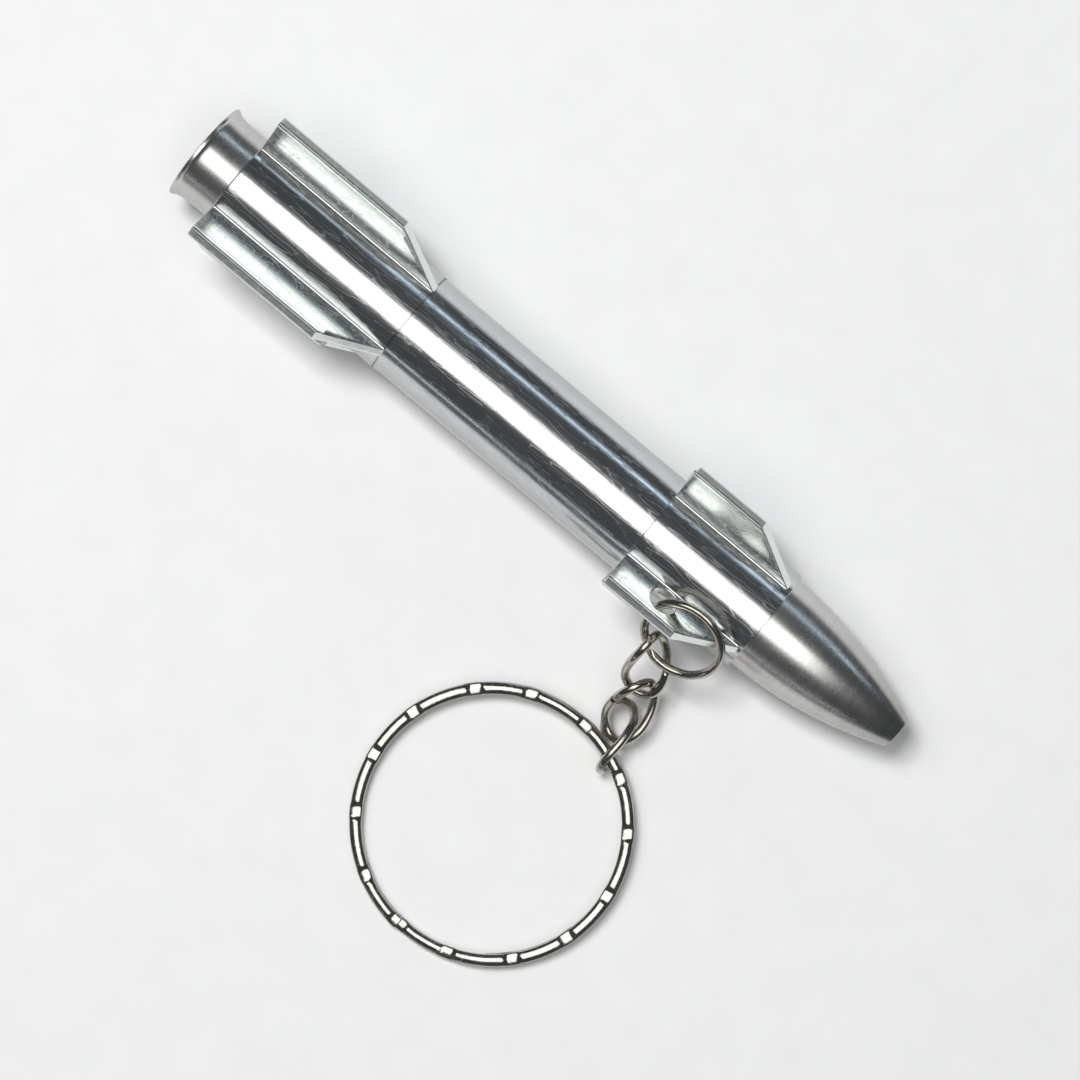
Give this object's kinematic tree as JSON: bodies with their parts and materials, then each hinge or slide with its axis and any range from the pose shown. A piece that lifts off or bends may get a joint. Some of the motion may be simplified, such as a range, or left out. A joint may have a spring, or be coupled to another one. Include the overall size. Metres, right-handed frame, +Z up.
{
  "type": "rocket key fob",
  "caption": "Finned aluminium rocket key fob with a jump ring, a short twisted chain and a split key ring.",
  "frame": {"origin": "bottom centre of the whole fob's bounding box, on the surface it lies on", "axes": "+X from the rocket's tail to its nose, +Z up, the chain and key ring lead off towards -Y"},
  "size_m": [0.085, 0.052, 0.0142],
  "materials": {
    "body_aluminium": "turned and polished bare aluminium with fine lengthwise scuffs",
    "plated_wire": "bright nickel plate on steel wire",
    "plated_ring": "bright nickel plate on embossed steel wire"
  },
  "bodies": {
    "rocket": {"rocket_body": "body_aluminium"},
    "jump_ring": {"jump_ring": "plated_wire"},
    "link_1": {"chain_link_1": "plated_wire"},
    "link_2": {"chain_link_2": "plated_wire"},
    "link_3": {"chain_link_3": "plated_wire"},
    "key_ring": {"split_ring": "plated_ring"}
  },
  "joints": [
    {"name": "jump_ring_swing", "type": "hinge", "parent": "rocket", "child": "jump_ring", "pos_m": [0.0213, 0.01394, 0.01211], "axis": [1, 0, 0], "range_deg": [-8, 14]},
    {"name": "link_1_swing", "type": "hinge", "parent": "jump_ring", "child": "link_1", "pos_m": [0.01977, 0.00996, 0.00852], "axis": [0.9205, -0.2904, -0.2614], "range_deg": [-40, 30]},
    {"name": "link_2_swing", "type": "hinge", "parent": "link_1", "child": "link_2", "pos_m": [0.02156, 0.00741, 0.00589], "axis": [0.5192, 0.4793, -0.7076], "range_deg": [-20, 3]},
    {"name": "link_3_swing", "type": "hinge", "parent": "link_2", "child": "link_3", "pos_m": [0.02252, 0.00137, 0.0025], "axis": [0.921, -0.0693, 0.3834], "range_deg": [-1, 16]},
    {"name": "key_ring_swing", "type": "hinge", "parent": "link_3", "child": "key_ring", "pos_m": [0.02305, -0.0001, 0.00242], "axis": [0.9511, -0.309, 0], "range_deg": [-30, 24]}
  ]
}
